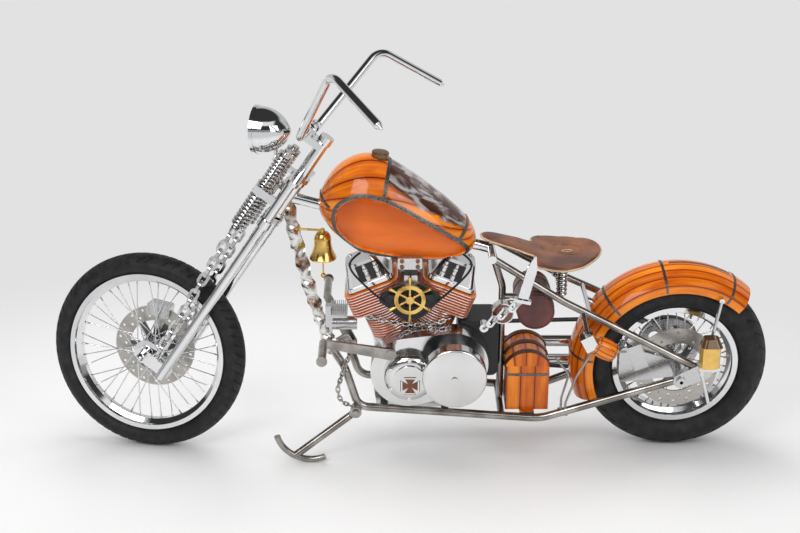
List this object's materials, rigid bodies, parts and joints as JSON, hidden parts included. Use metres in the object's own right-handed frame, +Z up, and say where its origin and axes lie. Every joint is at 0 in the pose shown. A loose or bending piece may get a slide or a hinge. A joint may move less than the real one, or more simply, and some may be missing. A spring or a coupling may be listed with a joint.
{
  "type": "chopper motorcycle",
  "caption": "Chopper motorcycle with a rigid frame, spring fork with chain legs, tall bars, V-twin engine, plank-look tank and fender, and a side stand with an anchor foot.",
  "frame": {"origin": "middle of the bounding box in plan, at ground level", "axes": "+X forward, +Y to the rider's left, +Z up; the machine stands as parked, leaning 8 degrees to the left on its stand with the fork turned 15.8 degrees to the right"},
  "size_m": [2.4878, 0.9504, 1.3848],
  "materials": {
    "tyre_rubber": "matt",
    "spoked_chrome": "polished",
    "disc_steel": "brushed",
    "cast_silver": "satin",
    "belt_rubber": "matt",
    "chrome": "polished",
    "lens_glass": "clear",
    "orange_lacquer": "clear gloss lacquer with plank seams",
    "brown_leather": "waxed",
    "fin_orange": "satin with bright fin edges",
    "case_black": "satin",
    "maroon_leather": "waxed",
    "black_plate": "satin",
    "brass": "polished",
    "horn_brown": "gloss",
    "braided_hose": "braided"
  },
  "bodies": {
    "frame": {"drive_belt": "belt_rubber", "backbone": "chrome", "downtube": "chrome", "axle_plates": "chrome", "lower_rails": "chrome", "upper_rails": "chrome", "seat_post": "chrome", "tank": "orange_lacquer", "fuel_cap": "chrome", "seat": "brown_leather", "seat_springs": "chrome", "rear_fender": "orange_lacquer", "fender_stays": "chrome", "crankcase": "cast_silver", "cylinders": "fin_orange", "heads": "fin_orange", "rocker_boxes": "cast_silver", "primary_case": "cast_silver", "engine_cover": "cast_silver", "clutch_drum": "cast_silver", "gearbox": "case_black", "oil_chest": "orange_lacquer", "tool_drum": "maroon_leather", "engine_mounts": "black_plate", "cam_cover": "cast_silver", "carburettor": "chrome", "exhausts": "chrome", "foot_controls": "chrome", "regulator": "cast_silver", "timing_block": "chrome", "ships_wheel": "brass", "bell": "brass", "canister_block": "chrome", "canister": "orange_lacquer", "rear_brake": "disc_steel", "tail_lamp": "brass", "shift_lever": "chrome", "horn": "horn_brown", "brake_hoses": "braided_hose"},
    "steering": {"fork": "chrome", "rockers": "chrome", "fork_chains": "chrome", "fork_springs": "chrome", "front_brake": "chrome", "handlebar": "chrome", "headlight": "chrome", "headlight_lens": "lens_glass"},
    "front_wheel": {"front_tyre": "tyre_rubber", "front_wheel": "spoked_chrome", "front_disc": "disc_steel"},
    "rear_wheel": {"rear_tyre": "tyre_rubber", "rear_wheel": "spoked_chrome", "rear_disc": "disc_steel", "rear_pulley": "cast_silver"},
    "side_stand": {"side_stand": "chrome"}
  },
  "joints": [
    {"name": "steering", "type": "hinge", "parent": "frame", "child": "steering", "pos_m": [0.41215, -0.07876, 0.91262], "axis": [-0.5538, 0.1159, 0.8245], "range_deg": [-14.2, 45.8]},
    {"name": "front_wheel_spin", "type": "hinge", "parent": "steering", "child": "front_wheel", "pos_m": [0.90363, -0.18427, 0.34797], "axis": [0.2268, 0.9738, 0.0154], "continuous": true},
    {"name": "rear_wheel_spin", "type": "hinge", "parent": "frame", "child": "rear_wheel", "pos_m": [-0.92137, -0.16193, 0.32012], "axis": [0.0001, 0.9903, -0.1392], "continuous": true},
    {"name": "side_stand_fold", "type": "hinge", "parent": "frame", "child": "side_stand", "pos_m": [0.18271, -0.03099, 0.17456], "axis": [0.0001, 0.9903, -0.1392], "range_deg": [0, 135]}
  ]
}
